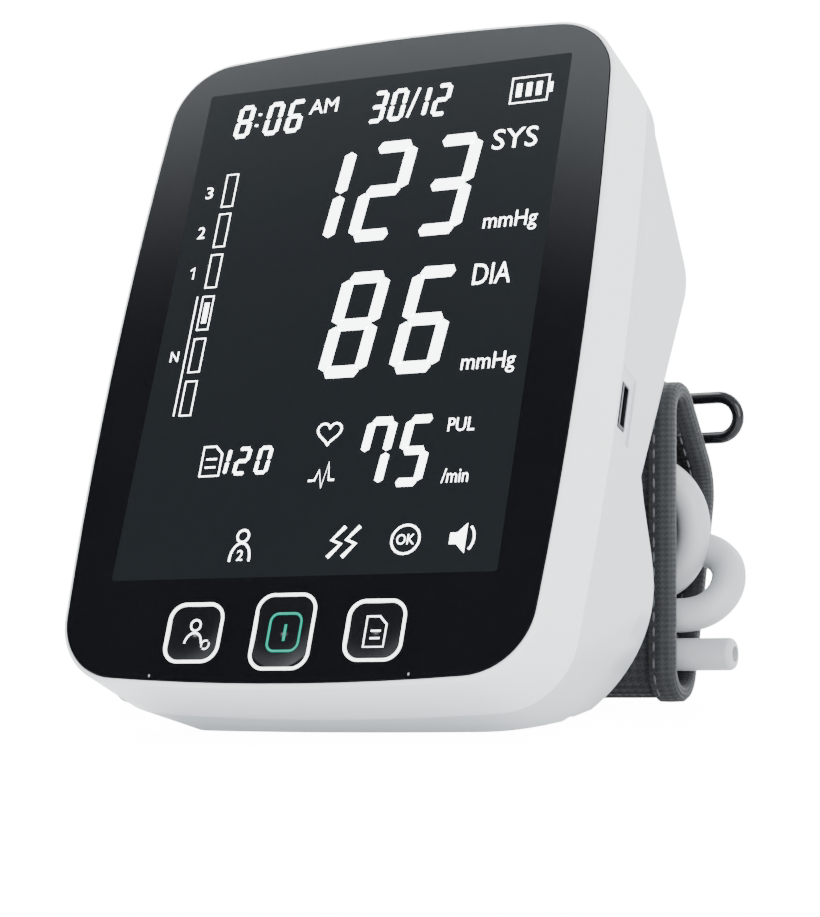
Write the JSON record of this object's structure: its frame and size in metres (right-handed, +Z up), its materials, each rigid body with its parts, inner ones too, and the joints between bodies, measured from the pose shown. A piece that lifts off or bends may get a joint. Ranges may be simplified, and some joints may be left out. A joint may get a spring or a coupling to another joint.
{
  "type": "upper arm blood pressure monitor",
  "caption": "Upper arm blood pressure monitor: large upright display leaning back on its hump-backed case, three front keys, and a rolled cuff with its air hose beside it.",
  "frame": {"origin": "middle of the base pad's underside, on the table", "axes": "+X to the reader's right, +Y towards the back, +Z up"},
  "size_m": [0.1453, 0.114, 0.1352],
  "materials": {
    "shell_white": "glossy moulded",
    "window_black": "polished",
    "tape_black": "foam tape",
    "ring_white": "glossy",
    "button_dark": "glossy",
    "button_teal": "glossy, teal mark",
    "lcd_glass": "display glass",
    "light_guide": "diffuser film",
    "inner_plastic": "fine spark",
    "inner_black": "fine spark",
    "circuit_board": "solder mask",
    "steel": "nickel plated",
    "flex_film": "polyimide",
    "soft_rubber": "silicone",
    "socket_grey": "satin",
    "cell_jacket": "printed sleeve",
    "pad_rubber": "matte",
    "cuff_nylon": "woven nylon",
    "bladder_film": "film",
    "binding_tape": "woven tape",
    "hook_tape": "hook fastener",
    "ring_wire": "glossy black",
    "hose_grey": "smooth extruded"
  },
  "bodies": {
    "monitor": {"rear_shell": "shell_white", "front_shell": "shell_white", "display_window": "window_black", "window_tape": "tape_black", "button_rings": "ring_white", "lcd_panel": "lcd_glass", "backlight": "light_guide", "lcd_frame": "inner_plastic", "main_board": "circuit_board", "board_screws": "steel", "key_board": "circuit_board", "tact_switches": "inner_black", "lcd_flex": "flex_film", "usb_receptacle": "steel", "usb_board": "circuit_board", "speaker": "inner_black", "pump_motor": "steel", "pump_head": "inner_plastic", "pump_sleeve": "soft_rubber", "exhaust_valve": "inner_black", "pressure_sensor": "inner_plastic", "air_socket": "socket_grey", "air_manifold": "inner_plastic", "air_tubes": "soft_rubber", "battery_tray": "inner_plastic", "battery_cells": "cell_jacket", "battery_contacts": "steel", "housing_screws": "steel", "base_pad": "pad_rubber"},
    "user_button": {"user_button": "button_dark"},
    "start_button": {"start_button": "button_teal"},
    "memory_button": {"memory_button": "button_dark"},
    "battery_cover": {"battery_cover": "shell_white"},
    "pump_rotor": {"pump_rotor": "steel"},
    "valve_plunger": {"valve_plunger": "steel"},
    "cuff": {"cuff_outer": "cuff_nylon", "cuff_bladder": "bladder_film", "cuff_lining": "cuff_nylon", "cuff_binding": "binding_tape", "ring_keeper": "cuff_nylon", "hook_patch": "hook_tape", "air_hose": "hose_grey", "hose_nipple": "hose_grey", "air_plug": "hose_grey"},
    "ring": {"d_ring": "ring_wire"}
  },
  "joints": [
    {"name": "user_press", "type": "slide", "parent": "monitor", "child": "user_button", "axis": [0, 0.91, -0.4147], "range_m": [0, 0.0007], "stiffness_N_per_m": 900, "springref_m": -0.0004},
    {"name": "start_press", "type": "slide", "parent": "monitor", "child": "start_button", "axis": [0, 0.91, -0.4147], "range_m": [0, 0.0007], "stiffness_N_per_m": 900, "springref_m": -0.0004},
    {"name": "memory_press", "type": "slide", "parent": "monitor", "child": "memory_button", "axis": [0, 0.91, -0.4147], "range_m": [0, 0.0007], "stiffness_N_per_m": 900, "springref_m": -0.0004},
    {"name": "cover_slide", "type": "slide", "parent": "monitor", "child": "battery_cover", "axis": [0, 0.6547, 0.7559], "range_m": [0, 0.012]},
    {"name": "pump_turn", "type": "hinge", "parent": "monitor", "child": "pump_rotor", "pos_m": [0.01, -0.00256, 0.02051], "axis": [1, 0, 0], "continuous": true},
    {"name": "valve_stroke", "type": "slide", "parent": "monitor", "child": "valve_plunger", "axis": [0, 0.4147, 0.91], "range_m": [0, 0.001], "stiffness_N_per_m": 300, "springref_m": -0.0005},
    {"name": "cuff_place", "type": "slide", "parent": "monitor", "child": "cuff", "axis": [0, 1, 0], "range_m": [0, 0.06]},
    {"name": "ring_turn", "type": "hinge", "parent": "cuff", "child": "ring", "pos_m": [-0.017, 0.0662, 0.0536], "axis": [-1, 0, 0], "range_deg": [0, 80]}
  ]
}
